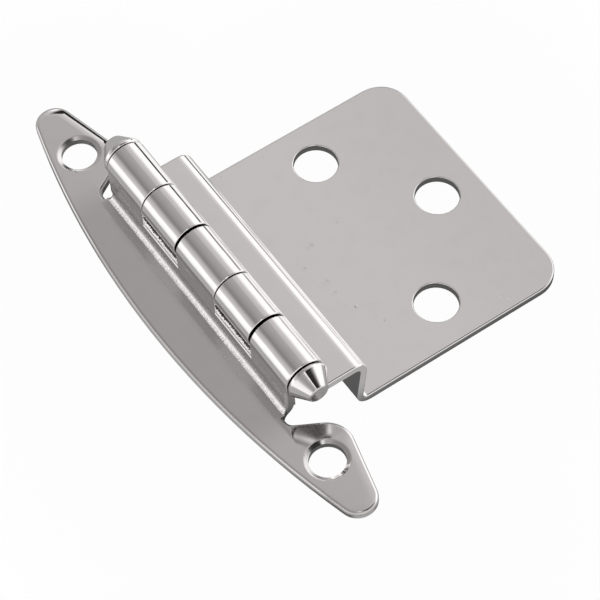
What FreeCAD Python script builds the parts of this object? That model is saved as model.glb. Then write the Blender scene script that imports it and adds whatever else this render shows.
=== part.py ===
import FreeCAD, Part
import math
import os
from types import SimpleNamespace

import Sketcher

Vector = FreeCAD.Vector

# Cranked cabinet hinge of plated sheet steel, for a door with a lipped edge.
# Each leaf is modelled about the pin: +X towards the door plate, +Y along the pin and +Z out of the
# cabinet's front. The Placements at the end bring them to the part's own frame, whose origin lies
# midway between the two frame screws, on the back of the frame leaf.

# Driving dimensions, in millimetres and degrees
sizes = {
    # Sheet and barrel
    "sheet_thickness": 1.05,
    "barrel_radius": 2.65,
    "barrel_length": 37.6,
    "end_knuckle": 7.4,
    "middle_knuckle": 7.9,
    "seam_gap": 0.25,
    "knuckle_play": 0.55,
    "thrust_gap": 0.18,
    "knuckle_rounding": 0.15,
    # Pin
    "pin_clearance": 0.05,
    "head_gap": 0.18,
    "head_radius": 2.6,
    "head_rim": 0.5,
    "head_length": 2.65,
    "head_end_radius": 1.2,
    "head_rounding": 0.28,
    # Frame leaf: the bow, its ears and the wall up to the barrel
    "plate_depth": 5.5,
    "frame_screw_gap": 7.6,
    "frame_screw_setback": 2.5,
    "frame_screw_hole": 4.4,
    "countersink_width": 0.5,
    "countersink_depth": 0.25,
    "countersink_rounding": 0.4,
    "frame_screw_edge": 3.72,
    "tip_overhang": 8.15,
    "bow_radius": 124,
    "tip_radius": 2.4,
    "taper_angle": 14,
    "shoulder_radius": 3.5,
    "ear_angle": 30,
    "notch_radius": 1,
    "notch_margin": 0.1,
    "relief_depth": 0.35,
    "relief_height": 1,
    "frame_bend_radius": 0.7,
    "slot_margin": 0.35,
    "slot_rounding": 0.3,
    "bow_edge_rounding": 0.45,
    # Door leaf: flange, crank and plate
    "leaf_inset": 0.15,
    "flange_depth": 5,
    "flange_gap": 0.65,
    "neck_bend_radius": 0.5,
    "crank_reach": 9.15,
    "crank_drop": 7.85,
    "crank_lean": 6,
    "crank_top_radius": 0.75,
    "crank_foot_radius": 0.6,
    "crank_outside_radius": 2.1,
    "door_screw_hole": 5.6,
    "door_screw_rim": 0.15,
    "door_screw_offset": 9.45,
    "door_screw_margin": 5.95,
    "plate_reach": 38.65,
    "plate_margin": 5.9,
    "plate_corner_radius": 4,
    "door_edge_rounding": 0.25,
    # How far the door leaf is shown past level with the frame leaf
    "rest_angle": 2,
}
dim = SimpleNamespace(**sizes)
tolerance = 1e-4

doc = FreeCAD.newDocument("cranked_hinge")
sheet = doc.addObject("Spreadsheet::Sheet", "Sizes")
for row, (alias, number) in enumerate(sizes.items(), start=1):
    sheet.set(f"A{row}", alias.replace("_", " "))
    sheet.set(f"B{row}", str(number))
    sheet.setAlias(f"B{row}", alias)
doc.recompute()

# Formulas that several sketches share
thickness = "Sizes.sheet_thickness"
bore_radius = "(Sizes.barrel_radius - Sizes.sheet_thickness)"
half_barrel = "(Sizes.barrel_length / 2)"
half_middle = "(Sizes.middle_knuckle / 2)"
slot_end = "(Sizes.barrel_length / 2 - Sizes.end_knuckle)"
notch_face = "(Sizes.barrel_radius + Sizes.frame_bend_radius + Sizes.notch_margin)"
notch_centre = "(Sizes.barrel_length / 2 - Sizes.relief_depth + Sizes.notch_radius)"
bend_root = "(Sizes.barrel_radius + 2 * Sizes.frame_bend_radius)"
frame_screw_y = "(Sizes.barrel_length / 2 + Sizes.frame_screw_gap)"
tip_y = f"({frame_screw_y} + Sizes.tip_overhang - Sizes.tip_radius)"
bow_centre = (
    f"(sqrt((Sizes.bow_radius - Sizes.frame_screw_edge)^2 - {frame_screw_y}^2) - Sizes.frame_screw_setback)"
)
half_leaf = "(Sizes.barrel_length / 2 - Sizes.leaf_inset)"
outer_screw_x = "(Sizes.plate_reach - Sizes.plate_margin)"
door_screw_x = f"({outer_screw_x} - Sizes.door_screw_offset)"
door_screw_y = f"({half_leaf} - Sizes.door_screw_margin)"


def worth(formula):
    """The plain number that a formula of the sheet comes to."""
    result = sheet.evalExpression(formula)
    return float(getattr(result, "Value", result))


def add_sketch(body, role, name, height=None):
    """A sketch on one of the body's origin planes, raised along its normal by a formula."""
    sketch = body.newObject("Sketcher::SketchObject", name)
    plane = next(item for item in body.Origin.OriginFeatures if item.Role == role)
    sketch.AttachmentSupport = [(plane, "")]
    sketch.MapMode = "FlatFace"
    if height:
        sketch.setExpression("AttachmentOffset.Base.z", height)
    return sketch


def join(sketch, kind, *places):
    """A constraint with no size."""
    sketch.addConstraint(Sketcher.Constraint(kind, *places))


def drive(sketch, name, formula, kind, *places):
    """A constraint whose size follows a formula of the sheet."""
    number = worth(formula)
    if kind == "Angle":
        number = math.radians(number)
    index = sketch.addConstraint(Sketcher.Constraint(kind, *places, number))
    sketch.renameConstraint(index, name)
    sketch.setExpression("Constraints." + name, formula)


def locate(sketch, name, kind, shape, point, formula):
    """The distance of a point from the origin along one axis, on either side of it."""
    if worth(formula) < 0:
        drive(sketch, name, f"-({formula})", kind, shape, point, -1, 1)
    else:
        drive(sketch, name, formula, kind, -1, 1, shape, point)


def add_line(sketch, start, end):
    return sketch.addGeometry(Part.LineSegment(Vector(*start, 0), Vector(*end, 0)))


def add_arc(sketch, centre, radius, start, end):
    circle = Part.Circle(Vector(*centre, 0), Vector(0, 0, 1), radius)
    return sketch.addGeometry(Part.ArcOfCircle(circle, math.radians(start), math.radians(end)))


def add_hole(sketch, name, x, y, diameter):
    """A circle placed by formulas."""
    circle = Part.Circle(Vector(worth(x), worth(y), 0), Vector(0, 0, 1), worth(diameter) / 2)
    shape = sketch.addGeometry(circle)
    drive(sketch, name + "_diameter", diameter, "Diameter", shape)
    locate(sketch, name + "_x", "DistanceX", shape, 3, x)
    if worth(y):
        locate(sketch, name + "_y", "DistanceY", shape, 3, y)
    else:
        join(sketch, "PointOnObject", shape, 3, -1)


def add_rectangle(sketch, name, left, right, low, high):
    """A rectangle with its four sides placed by formulas."""
    corners = [(worth(x), worth(y)) for x, y in ((left, low), (right, low), (right, high), (left, high))]
    lines = [add_line(sketch, corners[i], corners[(i + 1) % 4]) for i in range(4)]
    for i in range(4):
        join(sketch, "Coincident", lines[i], 2, lines[(i + 1) % 4], 1)
    for line in lines[0::2]:
        join(sketch, "Horizontal", line)
    for line in lines[1::2]:
        join(sketch, "Vertical", line)
    locate(sketch, name + "_left", "DistanceX", lines[3], 1, left)
    locate(sketch, name + "_right", "DistanceX", lines[1], 1, right)
    locate(sketch, name + "_low", "DistanceY", lines[0], 1, low)
    locate(sketch, name + "_high", "DistanceY", lines[2], 1, high)


def add_feature(body, kind, name, **settings):
    """A feature of the body with its settings, not built yet."""
    feature = body.newObject("PartDesign::" + kind, name)
    for key, setting in settings.items():
        setattr(feature, key, setting)
    return feature


def add_pad(body, sketch, name, length, side="One side"):
    pad = add_feature(body, "Pad", name, Profile=sketch, SideType=side)
    pad.setExpression("Length", length)
    doc.recompute()
    return pad


def add_pocket(body, sketch, name, upward=False):
    """A cut through everything on one side of its sketch."""
    before = body.Shape.Volume
    pocket = add_feature(body, "Pocket", name, Profile=sketch, Type="ThroughAll", Reversed=upward)
    doc.recompute()
    if pocket.Shape.Volume > before - tolerance:
        raise RuntimeError(f"{name} cuts nothing")


def find_edges(body, name, test):
    """The body's newest feature and the names of those of its edges that pass the test."""
    base = body.Tip
    edges = [f"Edge{i}" for i, edge in enumerate(base.Shape.Edges, start=1) if test(edge)]
    if not edges:
        raise RuntimeError(f"{name} finds no edge")
    return base, edges


def add_rounding(body, name, radius, test):
    """A fillet on every edge of the body that passes the test."""
    rounding = add_feature(body, "Fillet", name, Base=find_edges(body, name, test))
    rounding.setExpression("Radius", radius)
    doc.recompute()


def add_bevel(body, name, width, depth, test):
    """A shallow bevel on every edge that passes the test, wider than it is deep."""
    base = find_edges(body, name, test)
    bevel = add_feature(body, "Chamfer", name, Base=base, ChamferType="Two distances")
    bevel.setExpression("Size", width)
    bevel.setExpression("Size2", depth)
    doc.recompute()


def near(first, second):
    return abs(first - second) < tolerance


def along_pin(x, z):
    """Edges that run along the pin at the given place in the section."""
    return lambda edge: all(near(v.X, x) and near(v.Z, z) for v in edge.Vertexes)


def in_plane(edge, axis, place):
    """Whether the whole edge lies in a plane across one axis."""
    box = edge.BoundBox
    return near(getattr(box, axis + "Min"), place) and near(getattr(box, axis + "Max"), place)


def is_arc(edge, radius):
    return isinstance(edge.Curve, Part.Circle) and near(edge.Curve.Radius, radius)


def knuckle_end(edge):
    """Whether the edge is the outside corner of a knuckle's end face."""
    return is_arc(edge, dim.barrel_radius) and in_plane(edge, "Y", edge.CenterOfMass.y)


def draw_section(sketch, side, corners):
    """The sheet's section: straight stretches, then the curl about the pin back to where they start.

    The corners go from the barrel's outside at the neck to its inside; side is +1 where the neck
    stands on the +X side of the pin and -1 on the other. Returns the straight lines.
    """
    outer, inner = dim.barrel_radius, dim.barrel_radius - dim.sheet_thickness
    lines = [add_line(sketch, *pair) for pair in zip(corners, corners[1:])]
    # The curl stops short of the neck's inner face by the seam's gap.
    seam = math.degrees(math.asin((inner - dim.seam_gap) / outer))
    start, end = (0, 270 + seam) if side > 0 else (-90 - seam, 180)
    arcs = [add_arc(sketch, (0, 0), radius, start, end) for radius in (outer, inner)]
    neck_point, curl_point = (1, 2) if side > 0 else (2, 1)
    turn = math.radians(end if side > 0 else start)
    tail = [(radius * math.cos(turn), radius * math.sin(turn)) for radius in (outer, inner)]
    curl_end = add_line(sketch, *tail)
    for first, second in zip(lines, lines[1:]):
        join(sketch, "Coincident", first, 2, second, 1)
    join(sketch, "Tangent", arcs[0], neck_point, lines[0], 1)
    join(sketch, "Tangent", arcs[1], neck_point, lines[-1], 2)
    for arc, point in zip(arcs, (1, 2)):
        join(sketch, "Coincident", arc, 3, -1, 1)
        join(sketch, "Coincident", arc, curl_point, curl_end, point)
    join(sketch, "Vertical", lines[0])
    join(sketch, "Vertical", lines[-1])
    join(sketch, "PointOnObject", -1, 1, curl_end)
    drive(sketch, "outside", "Sizes.barrel_radius", "Radius", arcs[0])
    drive(sketch, "inside", bore_radius, "Radius", arcs[1])
    reach = f"({bore_radius} - Sizes.seam_gap) * {side}"
    locate(sketch, "seam", "DistanceX", arcs[0], curl_point, reach)
    return lines


def draw_bow_half(sketch):
    """The +Y half of the frame leaf's flat outline, tangent all the way from the bow to the notch."""
    notch_x = -worth(notch_face)
    notch_middle = (notch_x + dim.notch_radius, worth(notch_centre))
    bow_middle = (worth(bow_centre), 0)
    rise = math.degrees(math.asin(worth(tip_y) / (dim.bow_radius - dim.tip_radius)))
    tip_x = bow_middle[0] - (dim.bow_radius - dim.tip_radius) * math.cos(math.radians(rise))
    tip_middle = (tip_x, worth(tip_y))
    # The shoulder's middle lies one radius inside both the taper and the ear's edge.
    taper, ear = math.radians(dim.taper_angle), math.radians(dim.ear_angle)
    taper_normal = Vector(math.cos(taper), math.sin(taper), 0)
    ear_normal = Vector(math.sin(ear), -math.cos(ear), 0)
    taper_place = taper_normal.dot(Vector(*tip_middle, 0)) + dim.tip_radius - dim.shoulder_radius
    ear_place = ear_normal.dot(Vector(*notch_middle, 0)) - dim.notch_radius - dim.shoulder_radius
    spread = taper_normal.x * ear_normal.y - taper_normal.y * ear_normal.x
    shoulder = (
        (taper_place * ear_normal.y - ear_place * taper_normal.y) / spread,
        (taper_normal.x * ear_place - ear_normal.x * taper_place) / spread,
    )

    def on(centre, radius, normal):
        return (centre[0] + radius * normal.x, centre[1] + radius * normal.y)

    bow = add_arc(sketch, bow_middle, dim.bow_radius, 180 - rise, 180)
    tip = add_arc(sketch, tip_middle, dim.tip_radius, dim.taper_angle, 180 - rise)
    taper_start = on(tip_middle, dim.tip_radius, taper_normal)
    taper_line = add_line(sketch, taper_start, on(shoulder, dim.shoulder_radius, taper_normal))
    round_shoulder = add_arc(sketch, shoulder, dim.shoulder_radius, dim.ear_angle - 90, dim.taper_angle)
    ear_start = on(shoulder, dim.shoulder_radius, ear_normal)
    ear_line = add_line(sketch, ear_start, on(notch_middle, -dim.notch_radius, ear_normal))
    notch = add_arc(sketch, notch_middle, dim.notch_radius, 90 + dim.ear_angle, 180)
    inner_line = add_line(sketch, (notch_x, notch_middle[1]), (notch_x, 0))
    middle_line = add_line(sketch, (notch_x, 0), (bow_middle[0] - dim.bow_radius, 0))

    join(sketch, "Tangent", bow, 1, tip, 2)
    join(sketch, "Tangent", tip, 1, taper_line, 1)
    join(sketch, "Tangent", taper_line, 2, round_shoulder, 2)
    join(sketch, "Tangent", round_shoulder, 1, ear_line, 1)
    join(sketch, "Tangent", ear_line, 2, notch, 1)
    join(sketch, "Tangent", notch, 2, inner_line, 1)
    join(sketch, "Coincident", inner_line, 2, middle_line, 1)
    join(sketch, "Coincident", middle_line, 2, bow, 2)
    join(sketch, "Vertical", inner_line)
    for shape, point in ((bow, 3), (middle_line, 1), (middle_line, 2)):
        join(sketch, "PointOnObject", shape, point, -1)
    drive(sketch, "bow_radius", "Sizes.bow_radius", "Radius", bow)
    drive(sketch, "bow_centre", bow_centre, "DistanceX", -1, 1, bow, 3)
    drive(sketch, "tip_radius", "Sizes.tip_radius", "Radius", tip)
    drive(sketch, "tip_place", tip_y, "DistanceY", -1, 1, tip, 3)
    drive(sketch, "taper", "(Sizes.taper_angle - 90) * 1 deg", "Angle", taper_line)
    drive(sketch, "shoulder_radius", "Sizes.shoulder_radius", "Radius", round_shoulder)
    drive(sketch, "ear", "(180 + Sizes.ear_angle) * 1 deg", "Angle", ear_line)
    drive(sketch, "notch_radius", "Sizes.notch_radius", "Radius", notch)
    drive(sketch, "notch_place", notch_centre, "DistanceY", -1, 1, notch, 3)
    drive(sketch, "notch_face", notch_face, "DistanceX", inner_line, 2, -1, 1)


def draw_relief(sketch, name, end):
    """The end of the bend cut away beside one notch: a quarter round and straight sides."""
    middle = (-worth(notch_face) + dim.notch_radius, end * worth(notch_centre))
    floor_y = middle[1] - end * dim.notch_radius
    start, finish = (180, 270) if end > 0 else (90, 180)
    side_point, floor_point = (1, 2) if end > 0 else (2, 1)
    root = add_arc(sketch, middle, dim.notch_radius, start, finish)
    floor = add_line(sketch, (middle[0], floor_y), (0, floor_y))
    side = add_line(sketch, (0, floor_y), (0, middle[1]))
    top = add_line(sketch, (0, middle[1]), (middle[0] - dim.notch_radius, middle[1]))
    join(sketch, "Tangent", root, floor_point, floor, 1)
    join(sketch, "Coincident", floor, 2, side, 1)
    join(sketch, "Coincident", side, 2, top, 1)
    join(sketch, "Coincident", top, 2, root, side_point)
    join(sketch, "Horizontal", floor)
    join(sketch, "Horizontal", top)
    join(sketch, "PointOnObject", side, 1, -2)
    join(sketch, "PointOnObject", side, 2, -2)
    drive(sketch, name + "_radius", "Sizes.notch_radius", "Radius", root)
    locate(sketch, name + "_x", "DistanceX", root, 3, f"Sizes.notch_radius - {notch_face}")
    locate(sketch, name + "_y", "DistanceY", root, 3, f"{notch_centre} * {end}")
    join(sketch, "PointOnObject", root, 3, top)


def add_body(label):
    body = doc.addObject("PartDesign::Body", label)
    body.Label = label
    return body


def make_frame_leaf():
    """The leaf that shows on the cabinet's front, stamped and curled from one sheet."""
    body = add_body("frame_leaf")
    depth = "Sizes.plate_depth"
    under = f"-(Sizes.plate_depth + {thickness})"

    outline = add_sketch(body, "XY_Plane", "bow_outline", under)
    draw_bow_half(outline)
    plate = add_pad(body, outline, "bow_plate", thickness)
    mirror_plane = next(item for item in body.Origin.OriginFeatures if item.Role == "XZ_Plane")
    body.Tip = add_feature(
        body, "Mirrored", "whole_bow", Originals=[plate], MirrorPlane=(mirror_plane, [""])
    )
    doc.recompute()
    # The die rolls the show side's edge over all round the blank.
    add_rounding(
        body, "rolled_edge", "Sizes.bow_edge_rounding", lambda edge: in_plane(edge, "Z", -dim.plate_depth)
    )

    section = add_sketch(body, "XZ_Plane", "wall_section")
    outer, inner = -dim.barrel_radius, dim.sheet_thickness - dim.barrel_radius
    top, bottom = -dim.plate_depth, worth(under)
    root = -worth(bend_root)
    corners = [(outer, 0), (outer, top), (root, top), (root, bottom), (inner, bottom), (inner, 0)]
    lines = draw_section(section, -1, corners)
    join(section, "Horizontal", lines[1])
    join(section, "Vertical", lines[2])
    join(section, "Horizontal", lines[3])
    locate(section, "plate_top", "DistanceY", lines[1], 1, f"-{depth}")
    drive(section, "plate_thickness", thickness, "DistanceY", lines[2], 2, lines[2], 1)
    locate(section, "root", "DistanceX", lines[2], 1, f"-{bend_root}")
    add_pad(body, section, "wall_and_curl", "Sizes.barrel_length", "Symmetric")
    add_rounding(body, "bend_inside", "Sizes.frame_bend_radius", along_pin(outer, top))
    add_rounding(body, "bend_outside", f"Sizes.frame_bend_radius + {thickness}", along_pin(inner, bottom))

    reliefs = add_sketch(body, "XY_Plane", "reliefs", f"Sizes.relief_height - {depth}")
    draw_relief(reliefs, "far", 1)
    draw_relief(reliefs, "near", -1)
    add_pocket(body, reliefs, "bend_reliefs")

    slots = add_sketch(body, "XY_Plane", "slots", "-(Sizes.barrel_radius + Sizes.slot_margin)")
    width = "2 * Sizes.barrel_radius"
    add_rectangle(slots, "far", f"-{width}", width, half_middle, slot_end)
    add_rectangle(slots, "near", f"-{width}", width, f"-{slot_end}", f"-{half_middle}")
    add_pocket(body, slots, "knuckle_slots", upward=True)
    slot_floor = -dim.barrel_radius - dim.slot_margin
    add_rounding(body, "slot_edges", "Sizes.slot_rounding", along_pin(outer, slot_floor))
    add_rounding(body, "knuckle_ends", "Sizes.knuckle_rounding", knuckle_end)

    screws = add_sketch(body, "XY_Plane", "screws")
    for name, end in (("far", "1"), ("near", "-1")):
        add_hole(
            screws, name, "-Sizes.frame_screw_setback", f"{end} * {frame_screw_y}", "Sizes.frame_screw_hole"
        )
    add_pocket(body, screws, "screw_holes")
    hole_radius = dim.frame_screw_hole / 2
    add_bevel(
        body, "countersinks", "Sizes.countersink_width", "Sizes.countersink_depth",
        lambda edge: is_arc(edge, hole_radius) and in_plane(edge, "Z", top),
    )
    rim_radius = hole_radius + dim.countersink_width
    add_rounding(
        body, "screw_rims", "Sizes.countersink_rounding",
        lambda edge: is_arc(edge, rim_radius) and in_plane(edge, "Z", top),
    )
    return body


def make_door_leaf():
    """The leaf behind the door's lip: flange, crank and plate, with two knuckles."""
    body = add_body("door_leaf")
    section = add_sketch(body, "XZ_Plane", "crank_section")
    outer, inner = dim.barrel_radius, dim.barrel_radius - dim.sheet_thickness
    flange_top, plate_top = -dim.flange_depth, -dim.flange_depth - dim.crank_drop
    flange_under, plate_under = flange_top - dim.sheet_thickness, plate_top - dim.sheet_thickness
    lean = math.radians(dim.crank_lean)

    def wall_x(z, depth):
        """Where the leaning wall crosses a level, at a depth into its thickness."""
        return dim.crank_reach + (z - flange_top) * math.tan(lean) - depth / math.cos(lean)

    crank_top, crank_foot = wall_x(flange_top, 0), wall_x(plate_top, 0)
    inside_top = wall_x(flange_under, dim.sheet_thickness)
    under_foot = wall_x(plate_under, dim.sheet_thickness)
    corners = [
        (outer, 0), (outer, flange_top), (crank_top, flange_top), (crank_foot, plate_top),
        (dim.plate_reach, plate_top), (dim.plate_reach, plate_under), (under_foot, plate_under),
        (inside_top, flange_under), (inner, flange_under), (inner, 0),
    ]
    lines = draw_section(section, 1, corners)
    flange, wall, plate, plate_end, plate_back, wall_back, flange_back = lines[1:8]
    for line in (flange, plate, plate_back, flange_back):
        join(section, "Horizontal", line)
    join(section, "Vertical", plate_end)
    join(section, "Parallel", wall, wall_back)
    drive(section, "lean", "(-90 - Sizes.crank_lean) * 1 deg", "Angle", wall)
    locate(section, "flange_top", "DistanceY", flange, 1, "-Sizes.flange_depth")
    locate(section, "crank_top", "DistanceX", flange, 2, "Sizes.crank_reach")
    drive(section, "flange_thickness", thickness, "DistanceY", flange_back, 1, flange, 2)
    drive(section, "wall_thickness", thickness, "Distance", wall_back, 2, wall)
    drive(section, "crank_drop", "Sizes.crank_drop", "DistanceY", wall, 2, wall, 1)
    drive(section, "plate_thickness", thickness, "DistanceY", plate_end, 2, plate_end, 1)
    locate(section, "plate_end", "DistanceX", plate, 2, "Sizes.plate_reach")
    add_pad(body, section, "crank", f"2 * {half_leaf}", "Symmetric")

    roundings = (
        ("neck_inside", "Sizes.neck_bend_radius", (outer, flange_top)),
        ("neck_outside", f"Sizes.neck_bend_radius + {thickness}", (inner, flange_under)),
        ("crank_top_inside", "Sizes.crank_top_radius", (inside_top, flange_under)),
        ("crank_top_outside", "Sizes.crank_outside_radius", (crank_top, flange_top)),
        ("crank_foot_inside", "Sizes.crank_foot_radius", (crank_foot, plate_top)),
        ("crank_foot_outside", "Sizes.crank_outside_radius", (under_foot, plate_under)),
    )
    for name, radius, corner in roundings:
        add_rounding(body, name, radius, along_pin(*corner))

    gaps = add_sketch(body, "XY_Plane", "knuckle_gaps", "2 * Sizes.barrel_radius")
    beyond, edge = "2 * Sizes.barrel_radius", "(Sizes.barrel_radius + Sizes.flange_gap)"
    inner_side = f"({half_middle} + Sizes.knuckle_play / 2)"
    outer_side = f"({slot_end} - Sizes.knuckle_play / 2)"
    add_rectangle(gaps, "middle", f"-{beyond}", edge, f"-{inner_side}", inner_side)
    add_rectangle(gaps, "far", f"-{beyond}", edge, outer_side, "Sizes.barrel_length")
    add_rectangle(gaps, "near", f"-{beyond}", edge, "-Sizes.barrel_length", f"-{outer_side}")
    add_pocket(body, gaps, "knuckle_gaps_cut")
    add_rounding(body, "knuckle_ends", "Sizes.knuckle_rounding", knuckle_end)

    screws = add_sketch(body, "XY_Plane", "screws")
    hole = "Sizes.door_screw_hole"
    add_hole(screws, "far", door_screw_x, door_screw_y, hole)
    add_hole(screws, "near", door_screw_x, f"-{door_screw_y}", hole)
    add_hole(screws, "outer", outer_screw_x, "0", hole)
    add_pocket(body, screws, "screw_holes")
    add_rounding(
        body, "screw_rims", "Sizes.door_screw_rim",
        lambda edge: is_arc(edge, dim.door_screw_hole / 2) and in_plane(edge, "Z", plate_top),
    )

    half_length = worth(half_leaf)
    add_rounding(
        body, "plate_corners", "Sizes.plate_corner_radius",
        lambda edge: in_plane(edge, "X", dim.plate_reach) and near(abs(edge.CenterOfMass.y), half_length),
    )
    # The rolled edge runs on from the plate's end up the crank to the flange.
    add_rounding(
        body, "rolled_edge", "Sizes.door_edge_rounding",
        lambda edge: in_plane(edge, "X", dim.plate_reach) and near(edge.CenterOfMass.z, plate_top),
    )
    return body


def make_pin():
    """One pin, headed at both ends: a short rim and a cone to a flat end."""
    body = add_body("hinge_pin")
    profile = add_sketch(body, "XY_Plane", "pin_profile")
    shank = f"({bore_radius} - Sizes.pin_clearance)"
    seat = f"({half_barrel} + Sizes.head_gap)"
    rim = f"({seat} + Sizes.head_rim)"
    end = f"({seat} + Sizes.head_length)"
    half = [
        ("0", end), ("Sizes.head_end_radius", end), ("Sizes.head_radius", rim),
        ("Sizes.head_radius", seat), (shank, seat),
    ]
    profile_points = half + [(x, f"-{y}") for x, y in reversed(half)]
    places = [(worth(x), worth(y)) for x, y in profile_points]
    count = len(places)
    lines = [add_line(profile, places[i], places[(i + 1) % count]) for i in range(count)]
    for i, (x, y) in enumerate(profile_points):
        join(profile, "Coincident", lines[i - 1], 2, lines[i], 1)
        locate(profile, f"along_{i}", "DistanceY", lines[i], 1, y)
        if worth(x):
            locate(profile, f"radius_{i}", "DistanceX", lines[i], 1, x)
        else:
            join(profile, "PointOnObject", lines[i], 1, -2)
    turned = add_feature(body, "Revolution", "turned", Profile=profile, ReferenceAxis=(profile, ["V_Axis"]))
    turned.Angle = 360
    doc.recompute()
    add_rounding(
        body, "head_edges", "Sizes.head_rounding",
        lambda edge: is_arc(edge, dim.head_radius) or is_arc(edge, dim.head_end_radius),
    )
    return body


frame_leaf = make_frame_leaf()
door_leaf = make_door_leaf()
hinge_pin = make_pin()

# Bring the pieces to the part's own frame, the door leaf pushed along the pin to one end of its play.
door_leaf.Placement = FreeCAD.Placement(Vector(), FreeCAD.Rotation(Vector(0, 1, 0), dim.rest_angle))
door_leaf.setExpression("Placement.Rotation.Angle", "Sizes.rest_angle * 1 deg")
door_leaf.setExpression("Placement.Base.y", "Sizes.knuckle_play / 2 - Sizes.thrust_gap")
pieces = [frame_leaf, door_leaf, hinge_pin]
for piece in pieces:
    piece.setExpression("Placement.Base.x", "Sizes.frame_screw_setback")
    piece.setExpression("Placement.Base.z", f"Sizes.plate_depth + {thickness}")
doc.recompute()

for item in doc.Objects:
    if "Invalid" in item.State or "Error" in item.State:
        raise RuntimeError(f"{item.Label} did not build")
for piece in pieces:
    if piece.Shape.isNull() or not piece.Shape.isValid():
        raise RuntimeError(f"{piece.Label} has no valid shape")

os.makedirs("parts", exist_ok=True)
for piece in pieces:
    piece.Shape.exportStep(f"parts/{piece.Label}.step")
    box = piece.Shape.optimalBoundingBox()
    print(piece.Label, f"{piece.Shape.Volume:.2f} mm3,", f"{len(piece.Shape.Solids)} solid,",
          f"X {box.XMin:.2f} to {box.XMax:.2f}, Y {box.YMin:.2f} to {box.YMax:.2f},",
          f"Z {box.ZMin:.2f} to {box.ZMax:.2f}")
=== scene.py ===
import math

import bpy
import numpy as np
from mathutils import Matrix, Vector


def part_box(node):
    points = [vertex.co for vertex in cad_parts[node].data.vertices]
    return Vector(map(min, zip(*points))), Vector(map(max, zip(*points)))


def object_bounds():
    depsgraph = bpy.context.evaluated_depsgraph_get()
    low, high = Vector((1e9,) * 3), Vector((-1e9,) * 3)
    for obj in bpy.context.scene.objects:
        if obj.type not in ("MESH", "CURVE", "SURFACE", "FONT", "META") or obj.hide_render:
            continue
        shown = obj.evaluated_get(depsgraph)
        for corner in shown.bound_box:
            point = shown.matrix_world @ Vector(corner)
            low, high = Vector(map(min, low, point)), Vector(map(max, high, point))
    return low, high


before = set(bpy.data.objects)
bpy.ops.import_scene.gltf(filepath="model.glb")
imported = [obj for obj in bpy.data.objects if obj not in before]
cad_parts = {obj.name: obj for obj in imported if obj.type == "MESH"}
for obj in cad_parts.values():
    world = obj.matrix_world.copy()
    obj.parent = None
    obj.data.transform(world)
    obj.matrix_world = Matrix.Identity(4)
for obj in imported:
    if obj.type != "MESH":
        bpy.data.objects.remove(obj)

cadLow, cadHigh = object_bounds()
scene = bpy.context.scene
scene.view_settings.view_transform = "Standard"
pureWhite = (1, 1, 1, 1)
perMetre = 1000  # millimetres


# A shader value: arithmetic on it adds Math nodes, node() adds any other kind.
class Wire:
    def __init__(self, tree, socket=None):
        self.tree = tree
        self.socket = socket

    def node(self, kind, settings, inputs, output=0):
        added = self.tree.nodes.new(kind)
        for key, setting in settings.items():
            if key == "stops":
                setStops(added.color_ramp, setting)
            else:
                setattr(added, key, setting)
        for key, value in inputs.items():
            if isinstance(value, Wire):
                self.tree.links.new(value.socket, added.inputs[key])
            else:
                added.inputs[key].default_value = value
        return Wire(self.tree, added.outputs[output] if added.outputs else None)

    def maths(self, operation, first, second=0.0):
        return self.node("ShaderNodeMath", {"operation": operation}, {0: first, 1: second})

    def __add__(self, other):
        return self.maths("ADD", self, other)

    def __sub__(self, other):
        return self.maths("SUBTRACT", self, other)

    def __rsub__(self, other):
        return self.maths("SUBTRACT", other, self)

    def __mul__(self, other):
        return self.maths("MULTIPLY", self, other)

    def __truediv__(self, other):
        return self.maths("DIVIDE", self, other)

    def __abs__(self):
        return self.maths("ABSOLUTE", self)

    __radd__ = __add__
    __rmul__ = __mul__

    def step(self, low, high):  # 0 below low, 1 above high, smooth between
        return self.node("ShaderNodeMapRange", {"interpolation_type": "SMOOTHSTEP"},
                         {"Value": self, "From Min": low, "From Max": high})

    def ramp(self, low, high):  # the same with a straight slope
        return self.node("ShaderNodeMapRange", {}, {"Value": self, "From Min": low, "From Max": high})

    def within(self, low, high, soft):  # 1 between low and high, 0 a little outside
        return self.step(low - soft, low) * (1 - self.step(high, high + soft))

    def parts(self):  # x, y and z of a vector
        split = self.node("ShaderNodeSeparateXYZ", {}, {0: self}).socket.node
        return [Wire(self.tree, output) for output in split.outputs]

    def stretched(self, scales):  # a vector, each axis by its own scale
        return self.node("ShaderNodeVectorMath", {"operation": "MULTIPLY"}, {0: self, 1: scales})

    def noise(self, scale, detail, roughness=0.5):
        sockets = {"Vector": self, "Scale": scale, "Detail": detail, "Roughness": roughness}
        return self.node("ShaderNodeTexNoise", {}, sockets, "Fac")

    def mixed(self, first, second):  # from the first colour to the second as this goes from 0 to 1
        return self.node("ShaderNodeMix", {"data_type": "RGBA"}, {0: self, 6: first, 7: second}, 2)


def setStops(ramp, stops):
    while len(ramp.elements) < len(stops):
        ramp.elements.new(0.5)  # moved to its place below
    for element, (place, tone) in zip(ramp.elements, stops):
        element.position = place
        element.color = (tone, tone, tone, 1)


def newTree(owner):
    owner.use_nodes = True
    owner.node_tree.nodes.clear()
    return Wire(owner.node_tree)


def length(start, *sides):  # root of the sides' squares added up
    return start.maths("SQRT", sum(side * side for side in sides))


def blend(first, second, share):  # from the first value to the second as the share goes from 0 to 1
    return first * (1 - share) + share * second


def about(value, offsets):  # a range given as offsets from a value
    return [value + offset for offset in offsets]


# Camera at the photograph's angle
cameraSet = {
    "azimuth": -30.479,  # degrees round from -Y
    "elevation": 57.725,
    "roll": -5.063,
    "distance": 0.32714,
    "aim": (0.008749, -0.008546, 0.0039),
    "lens": 168.78,  # millimetres, as the sensor is
    "sensor": 36,
    "nearest": 0.01,
}


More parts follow.
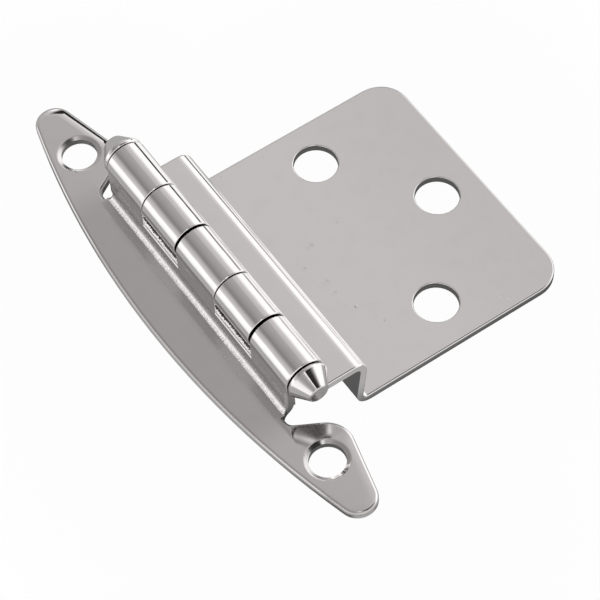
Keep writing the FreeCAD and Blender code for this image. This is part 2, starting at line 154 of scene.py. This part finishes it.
def makeCamera(look):
    az, el, roll = (math.radians(look[key]) for key in ("azimuth", "elevation", "roll"))
    back = Vector((math.sin(az) * math.cos(el), -math.cos(az) * math.cos(el), math.sin(el)))
    level = Vector((0, 0, 1)).cross(back).normalized()
    upright = back.cross(level)
    right = level * math.cos(roll) + upright * math.sin(roll)
    data = bpy.data.cameras.new("camera")
    data.lens = look["lens"]
    data.sensor_width = look["sensor"]
    data.clip_start = look["nearest"]
    camera = bpy.data.objects.new("camera", data)
    turn = Matrix((right, back.cross(right), back)).transposed().to_4x4()
    camera.matrix_world = Matrix.Translation(Vector(look["aim"]) + back * look["distance"]) @ turn
    scene.collection.objects.link(camera)
    scene.camera = camera


makeCamera(cameraSet)
print("camera set")


# Studio: a white tent, grey overhead, open in front and with a dark stand beyond the far right
studioSet = {
    # brightness from the right horizon (0) over the top to the left horizon (1), behind and in front
    "behind": [
        (0.0, 1.1), (0.2, 1.1), (0.25, 0.9), (0.28, 0.68), (0.3, 0.63), (0.34, 0.565), (0.354, 0.53),
        (0.37, 0.57), (0.38, 0.56), (0.4, 0.47), (0.416, 0.42), (0.43, 0.4), (0.474, 0.385),
        (0.518, 0.36), (0.562, 0.335), (0.608, 0.305), (0.653, 0.265), (0.695, 0.235), (0.742, 0.34),
        (0.786, 0.5), (0.831, 0.55), (0.877, 0.68), (0.91, 1.1), (1.0, 1.1),
    ],
    "front": [
        (0.0, 1.1), (0.17, 1.1), (0.21, 0.8), (0.27, 0.25), (0.34, 0.03), (0.49, 0.02), (0.515, 0.95),
        (0.535, 0.95), (0.56, 0.44), (0.62, 0.36), (0.7, 0.32), (0.8, 0.45), (0.88, 0.9), (1.0, 1.0),
    ],
    "frontFrom": (0.1, 0.25),  # share of a direction that points to -Y, where the front takes over
    "nearEnd": 1.0, "nearEndFrom": (0.68, 0.85),
    "farEnd": 0.42, "farEndFrom": (0.86, 0.98),
    "below": 0.55, "belowTo": (-0.06, -0.02),  # mirrored only by a leaf turned down past the floor
    "warm": (1.0, 0.975, 0.968, 1), "warmTo": (0.6, 1.0),  # tint of the greys, gone in the whites
    # the stand: its borders in a direction's x, y and z, and its top, which rises further round
    "standTone": 0.02,
    "standLeft": (0.2, 0.4), "standNear": (0.4, 0.52), "standFar": (0.75, 0.85),
    "standFoot": (-0.05, 0.01), "standTop": 0.17, "standSoft": (-0.04, 0.04),
    "standRise": 4, "standRiseFrom": 0.54,
}


def makeStudio(look):
    world = bpy.data.worlds.new("studio")
    scene.world = world
    start = newTree(world)
    way = start.node("ShaderNodeTexCoord", {}, {}, "Generated")
    x, y, z = way.parts()
    over = start.maths("ARCTAN2", z, x) / math.pi  # share of the half turn over the top
    behind = start.node("ShaderNodeValToRGB", {"stops": look["behind"]}, {"Fac": over})
    front = start.node("ShaderNodeValToRGB", {"stops": look["front"]}, {"Fac": over})
    tone = blend(behind, front, (y * -1).step(*look["frontFrom"]))
    tone = blend(tone, look["farEnd"], y.step(*look["farEndFrom"]))
    tone = blend(tone, look["nearEnd"], (y * -1).step(*look["nearEndFrom"]))

    onward = start.maths("MAXIMUM", y - look["standRiseFrom"], 0.0)
    standTop = look["standTop"] + look["standRise"] * onward
    stand = (1 - (z - standTop).step(*look["standSoft"])) * z.step(*look["standFoot"])
    stand = stand * y.ramp(*look["standNear"]) * (1 - y.step(*look["standFar"]))
    stand = stand * x.step(*look["standLeft"])
    tone = blend(tone, look["standTone"], stand)
    tone = blend(look["below"], tone, z.step(*look["belowTo"]))

    # the camera itself sees plain white
    tint = tone.step(*look["warmTo"]).mixed(look["warm"], pureWhite)
    seen = start.node("ShaderNodeLightPath", {}, {}, "Is Camera Ray")
    light = start.node("ShaderNodeBackground", {}, {"Color": tint, "Strength": tone})
    white = start.node("ShaderNodeBackground", {}, {"Color": pureWhite})
    shown = start.node("ShaderNodeMixShader", {}, {0: seen, 1: light, 2: white})
    start.node("ShaderNodeOutputWorld", {}, {"Surface": shown})


makeStudio(studioSet)
print("studio lit")


# Floor: a wide pale disc just under the hinge
floorSet = {
    "radius": 1.5, "hub": 0.002, "rings": 24, "spokes": 96,
    "gap": 0.0001,
    "tone": 0.6,
    # share of the white behind it that the camera sees close to the hinge; it sees all of it further off
    "clear": 0.975, "shadowEnd": (0.01, 0.04),
    # what the hinge mirrors: the floor under it and just beside it, a painted shadow that is dark under it
    # and grey beside it, then beyond its far end and from below
    "under": 0.1, "beside": 0.42, "besideFrom": 0.003, "underside": 0.55,
    "farGrey": 0.4, "farGreyFrom": (0.75, 0.92),
    # where the mirrored floor turns white, to the left and to the right, as distances from the hinge
    "whiteLeft": (0.035, 0.09), "whiteRight": (0.0, 0.02),
    "rightX": (0.01, 0.03), "rightY": (-0.02, 0.0),
}


def pastBox(x, y, node):  # how far a point of the floor lies outside a piece's own box
    low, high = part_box(node)
    pastX = x.maths("MAXIMUM", x.maths("MAXIMUM", low[0] - x, x - high[0]), 0.0)
    pastY = y.maths("MAXIMUM", y.maths("MAXIMUM", low[1] - y, y - high[1]), 0.0)
    return length(x, pastX, pastY)


def makeFloor(look):
    # a disc on a polar grid: rings at radius r, spokes at angle t
    rings = np.linspace(look["hub"], look["radius"], look["rings"])
    spokes = np.linspace(0, 2 * np.pi, look["spokes"], endpoint=False)
    r, t = np.meshgrid(rings, spokes, indexing="ij")
    height = np.full(r.size, cadLow.z - look["gap"])
    points = np.stack([(r * np.cos(t)).ravel(), (r * np.sin(t)).ravel(), height], axis=1)
    index = np.arange(r.size).reshape(r.shape)
    ahead = np.roll(index, -1, axis=1)
    faces = np.stack([index[:-1], index[1:], ahead[1:], ahead[:-1]], axis=-1).reshape(-1, 4)
    mesh = bpy.data.meshes.new("floor")
    mesh.from_pydata(points.tolist(), [], faces.tolist() + [index[0].tolist()])
    floor = bpy.data.objects.new("floor", mesh)
    scene.collection.objects.link(floor)

    material = bpy.data.materials.new("paleFloor")
    start = newTree(material)
    x, y, _ = start.node("ShaderNodeTexCoord", {}, {}, "Object").parts()
    gap = start.maths("MINIMUM", pastBox(x, y, "frame_leaf"), pastBox(x, y, "door_leaf"))
    right = x.step(*look["rightX"]) * y.step(*look["rightY"])
    outside = gap.step(0, look["besideFrom"])
    beyond = (y / length(start, x, y)).step(*look["farGreyFrom"]) * outside
    # painted shadow, seen only in mirrors: dark under the hinge, grey just beside it, white further off
    mirror = blend(look["under"], look["beside"], outside)
    whiteShare = blend(gap.step(*look["whiteLeft"]), gap.step(*look["whiteRight"]), right)
    mirror = blend(blend(mirror, 1.0, whiteShare), look["farGrey"], beyond)
    fromBelow = start.node("ShaderNodeNewGeometry", {}, {}, "Backfacing")
    mirror = blend(mirror, look["underside"], fromBelow)

    # clear to the camera, plain to mirrors with its painted shadow, matt to everything else
    camera = start.node("ShaderNodeLightPath", {}, {}, "Is Camera Ray")
    glossy = start.node("ShaderNodeLightPath", {}, {}, "Is Glossy Ray")
    passing = start.node("ShaderNodeLightPath", {}, {}, "Is Transmission Ray")
    mirrored = start.maths("MAXIMUM", glossy, passing)
    clear = blend(look["clear"], 1.0, gap.step(*look["shadowEnd"]))
    notMatt = start.maths("MAXIMUM", camera * clear, mirrored)
    matt = start.node("ShaderNodeBsdfDiffuse", {}, {"Color": (look["tone"],) * 3 + (1,)})
    through = start.node("ShaderNodeBsdfTransparent", {}, {})
    plain = start.node("ShaderNodeEmission", {}, {"Color": pureWhite, "Strength": mirror})
    seen = start.node("ShaderNodeMixShader", {}, {0: mirrored, 1: through, 2: plain})
    shown = start.node("ShaderNodeMixShader", {}, {0: notMatt, 1: matt, 2: seen})
    start.node("ShaderNodeOutputMaterial", {}, {"Surface": shown})
    mesh.materials.append(material)


makeFloor(floorSet)
print("floor laid")

# Plating. Places in millimetres about the pin, each leaf level in its own frame.
pinPlace = Vector((0.0025, 0, 0.00655))
platingSet = {
    "bright": (0.95, 0.928, 0.922, 1),
    "dullAndShade": (0.7, 0.68, 0.67, 1),
    "paintedShade": (0.05, 0.046, 0.043, 1),  # near black: painted shade inside the barrel, seen in the gaps between knuckles and heads
    "rough": 0.03, "paintedShadeRough": 0.3,
    "swellScale": 0.12, "swell": 0.012,
    # offsets from the barrel's radius and end: where its swells, its bare bore and the bends' streaks stop
    "barrelRadius": 2.65, "barrelEdge": (0.05, 0.15), "boreEdge": (-0.22, -0.14),
    "barrelEnd": 18.8, "bendEnd": (-0.5, -0.2), "boreEnd": (0.12, 0.15),
    "barrelSwellScale": 0.35, "barrelSwell": 0.03,
    "grainStretch": (5.0, 0.25, 5.0), "grain": 0.0006, "grainDull": 0.06, "grainRough": 0.02,
    "hazeScale": 0.4, "hazeFrom": (0.4, 0.8), "hazeDull": 0.1, "hazeRough": 0.02,
    "pitScale": 0.8, "pitFrom": (0.95, 0.96), "pitRim": (0.02, 0.09), "pitDepth": 0.008, "pitDull": 0.4,
    "streakStretch": (0.8, 4.5, 0.8), "burrEnd": 0.2, "bendCore": 0.3,
    "tearScale": 5.0, "tornBy": 0.7, "paintedShadeEdge": 0.05, "rimEdge": (-0.06, 0),
    # lists of marked places, empty unless a piece has some
    "dents": [], "burrs": [], "bends": [], "ears": [], "patches": [], "rims": [], "paintedShadeBoxes": [],
}


def makePlating(look):
    plate = {**platingSet, **look}
    material = bpy.data.materials.new(plate["name"])
    start = newTree(material)
    turn = math.radians(plate["turn"])
    shift = Matrix.Rotation(turn, 3, "Y") @ pinPlace * -perMetre
    place = start.node("ShaderNodeMapping", {}, {
        "Vector": start.node("ShaderNodeTexCoord", {}, {}, "Object"),
        "Location": shift, "Rotation": (0, turn, 0), "Scale": (perMetre,) * 3})
    x, y, z = place.parts()
    spread = length(start, x, z)  # distance from the pin's axis

    # rolled sheet under the plating: slow swells, finer on the curled barrel, and faint grain along Y
    barrel = 1 - spread.step(*about(plate["barrelRadius"], plate["barrelEdge"]))
    height = place.noise(plate["swellScale"], detail=2) * plate["swell"]
    height = height + place.noise(plate["barrelSwellScale"], detail=1) * barrel * plate["barrelSwell"]
    grain = place.stretched(plate["grainStretch"]).noise(1.0, detail=3, roughness=0.6)
    height = height + grain * plate["grain"]
    haze = place.noise(plate["hazeScale"], detail=4, roughness=0.6).step(*plate["hazeFrom"])
    dullAndShade = haze * plate["hazeDull"] + grain * plate["grainDull"]
    rough = plate["rough"] + haze * plate["hazeRough"] + grain * plate["grainRough"]

    # pits: a few cells of a random grid have a small round hole at their middle
    grid = {"Vector": place, "Scale": plate["pitScale"]}
    fromMiddle = start.node("ShaderNodeTexVoronoi", {}, grid, "Distance")
    chance = start.node("ShaderNodeTexVoronoi", {}, grid, "Color").parts()[0]
    pit = (1 - fromMiddle.step(*plate["pitRim"])) * chance.step(*plate["pitFrom"])
    height = height - pit * plate["pitDepth"]
    dullAndShade = dullAndShade + pit * plate["pitDull"]

    # dents that show
    for dentX, dentY, reach, depth in plate["dents"]:
        dent = 1 - length(start, x - dentX, y - dentY).step(0, reach)
        height = height - dent * depth

    # burrs: a ragged lip along a bend or a slot, which rises from its foot to its top
    streak = place.stretched(plate["streakStretch"]).noise(1.0, detail=3, roughness=0.65)
    for (footX, topX), (nearY, farY), (lowZ, highZ), fade, ragged, steep, burr in plate["burrs"]:
        rise = (x + (streak - 0.5) * ragged).ramp(footX, topX)
        lip = rise * (steep - rise * (steep - 1)) * abs(y).within(nearY, farY, plate["burrEnd"])
        height = height + lip * z.within(lowZ, highZ, fade) * burr

    # bends, streaked by the press
    between = 1 - abs(y).step(*about(plate["barrelEnd"], plate["bendEnd"]))
    for bendX, bendZ, reach, strength, scuff in plate["bends"]:
        fromBend = length(start, x - bendX, z - bendZ)
        mark = (1 - fromBend.step(reach * plate["bendCore"], reach)) * between
        height = height + streak * mark * strength
        rough = rough + mark * scuff

    # the ears are drawn down towards the door's side and the tip: the square of the distance past a line
    # inside their outline
    for end, drop in plate["ears"]:
        tip = plate["earTip"]
        taper = math.radians(tip["taper"])
        fromX = x - tip["x"]
        fromY = y * end - tip["y"]
        across = start.maths("MAXIMUM", fromX * math.cos(taper) + fromY * math.sin(taper), 0.0)
        onward = start.maths("MAXIMUM", fromY * math.cos(taper) - fromX * math.sin(taper), 0.0)
        past = start.maths("MAXIMUM", length(start, across, onward) - tip["radius"] + tip["lip"], 0.0)
        height = height - past * past * drop * (fromY + tip["long"]).step(0, tip["fade"])

    # patches: sheared, scuffed or ragged places, and places of painted shade, as boxes
    tear = place.noise(plate["tearScale"], detail=2)
    for low, high, soft, depth, shade, scuff in plate["patches"]:
        inside = x.within(low[0], high[0], soft[0]) * y.within(low[1], high[1], soft[1])
        inside = inside * z.within(low[2], high[2], soft[2])
        height = height + tear * inside * depth
        rough = rough + inside * scuff
        dullAndShade = dullAndShade + inside * shade

    # screw holes' rims, worn dull
    for rimX, rimY, reach, shade, scuff in plate["rims"]:
        rim = 1 - length(start, x - rimX, y - rimY).step(*about(reach, plate["rimEdge"]))
        rough = rough + rim * scuff
        dullAndShade = dullAndShade + rim * shade

    # painted shade: near black inside the barrel, and in boxes of its own
    inner = 1 - spread.step(*about(plate["barrelRadius"], plate["boreEdge"]))
    paintedShade = inner * (1 - abs(y).step(*about(plate["barrelEnd"], plate["boreEnd"])))
    torn = x + (streak - 0.5) * plate["tornBy"]
    for low, high, fade, share in plate["paintedShadeBoxes"]:
        inside = torn.within(low[0], high[0], plate["paintedShadeEdge"])
        inside = inside * abs(y).within(low[1], high[1], plate["paintedShadeEdge"])
        paintedShade = start.maths("MAXIMUM", paintedShade, inside * z.within(low[2], high[2], fade) * share)
    rough = rough + paintedShade * plate["paintedShadeRough"]
    colour = paintedShade.mixed(dullAndShade.mixed(plate["bright"], plate["dullAndShade"]), plate["paintedShade"])

    normal = start.node("ShaderNodeBump", {}, {
        "Strength": 1.0, "Distance": 1 / perMetre, "Height": height})
    surface = start.node("ShaderNodeBsdfPrincipled", {}, {
        "Base Color": colour, "Metallic": 1.0, "Roughness": rough, "Normal": normal})
    start.node("ShaderNodeOutputMaterial", {}, {"Surface": surface})
    return material


wide = 50  # beyond the piece either way
sharp = (0.03, 0.03, 0.03)  # softness of a crisp border
frameLeafSet = {
    "name": "frameLeafPlating", "turn": 0,
    # x from foot to top, y and z ranges, fade in z, how ragged, how much steeper at the foot, height
    "burrs": [
        ((-3.3, -2.81), (-1, 18.4), (-9, -4.8), 2.0, 0.24, 2, 0.275),  # foot of the wall
        ((-2.45, -2.15), (4.0, 11.35), (-3.35, -2.8), 0.05, 0.5, 1, 0.36),  # slots
    ],
    "bends": [(-2.85, -5.2, 0.6, 0.02, 0.06)],  # x, z, reach, streaks, roughness
    "earTip": {"x": -2.42, "y": 32.15, "radius": 2.4, "taper": 14, "lip": 1.4, "long": 8, "fade": 2},
    "ears": [(1, 0.18), (-1, 0.03)],  # far or near end, drop
    # low corner, high corner, softness, tears, shade, roughness
    "patches": [
        # the bow, scuffed by the press
        ((-wide, -17, -5.6), (-3.45, 17, -5.35), (0.1, 6, 0.15), 0, 0.75, 0.12),
        # the wall above its foot, and the bow beside it: painted shade in the crease between them, and
        # roughness
        ((-2.85, -18.4, -5.35), (-2.55, 18.4, -3.6), (0.05, 0.1, 0.2), 0, 0.85, 0.1),
        ((-2.75, -18.4, -5.4), (-2.55, 18.4, -4.7), (0.05, 0.1, 0.6), 0.01, 0, 0.25),
        ((-4.1, -18.4, -5.6), (-3.45, 18.4, -5.35), (0.4, 0.4, 0.1), 0, 0.3, 0.25),
        # the wall's sheared near end, and its ends under the barrel
        ((-2.75, -19.2, -5.5), (-1.4, -18.35, -1.5), sharp, 0, 0.2, 0.35),
        ((-2.75, 12.2, -3.7), (-2.55, 18.6, -1.5), (0.05, 0.3, 0.2), 0, 0.1, 0.15),
        ((-2.75, -18.6, -3.7), (-2.55, -12.2, -1.5), (0.05, 0.3, 0.2), 0, 0.1, 0.15),
        # the near ear below the pin: painted shade where the pin head's reflection falls, and roughness
        ((-3.2, -24, -5.7), (3.2, -19.3, -5.35), (0.8, 0.8, 0.1), 0, 0.5, 0.09),
        # the rolled edge along the bow and round the near tip, and the sheared edge under it
        ((-wide, -29, -5.97), (-3.6, 12, -5.56), (0.2, 3, 0.04), 0.004, 0.4, 0.3),
        ((-wide, -wide, -5.97), (-1.5, -31, -5.56), (0.5, 2, 0.04), 0.004, 0.9, 0.35),
        ((-wide, -wide, -6.5), (wide, wide, -5.98), sharp, 0.004, 0.2, 0.12),
    ],
    "rims": [(-2.5, 26.4, 2.75, 0.3, 0.17)],  # the far hole: x, y, radius, shade, roughness
    # low corner, high corner, fade in z, share of painted shade, at both ends alike
    "paintedShadeBoxes": [
        ((-2.15, 3.9, -3.2), (-1.5, 11.5, -2.9), 0.03, 0.9),  # slots' floors: painted shade under the knuckles
        ((-4.3, 18.5, -6.6), (0.8, 22, -5.53), 0.03, 0.7),  # notches: painted shade on their rims
    ],
}
doorLeafSet = {
    "name": "doorLeafPlating", "turn": -2,
    "swellScale": 0.1,
    # x, y, radius, depth (raised where negative)
    "dents": [
        (15.5, 2.9, 0.7, 0.016), (15.1, -7.5, 0.3, -0.03), (20.2, 3.9, 0.3, 0.012),
        (13.0, 0.6, 0.45, 0.012), (14.1, -2.5, 0.55, 0.012), (14.0, -4.4, 0.45, 0.01),
        (30.2, -16.4, 0.3, 0.015), (30.8, -17.2, 0.35, 0.015), (28.4, -16.6, 0.25, 0.01),
        (33.5, -12.8, 0.25, 0.012), (16.6, -11.1, 0.25, 0.012), (29.7, 6.6, 0.25, 0.01),
    ],
    "bends": [(8.5, -5.5, 1.3, 0.004, 0.03), (8.5, -12.7, 1.0, 0.004, 0.03)],  # the crank's two
    # sheared edges of the plate, then of the near and far ends
    "patches": [
        ((11, -wide, -13.85), (wide, wide, -13.08), sharp, 0.004, 0.2, 0.12),
        ((2.6, -wide, -wide), (wide, -18.6, -4), sharp, 0.006, 0.3, 0.12),
        ((2.6, 18.6, -wide), (wide, wide, -4), sharp, 0.006, 0.3, 0.12),
    ],
}
pinSet = {
    "name": "pinPlating", "turn": 0,
    "barrelSwell": 0.01,
    "patches": [((-wide, -wide, -wide), (wide, -21.5, wide), sharp, 0, 0.9, 0.2)],  # near end, sheared flat
    "paintedShadeBoxes": [((-3, 18.9, -3), (3, 21.6, -1.4), 0.6, 0.75)],  # painted shade on the underside of the heads
}

for node, look in (("frame_leaf", frameLeafSet), ("door_leaf", doorLeafSet), ("hinge_pin", pinSet)):
    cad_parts[node].material_slots[0].material = makePlating(look)
print("plating made")
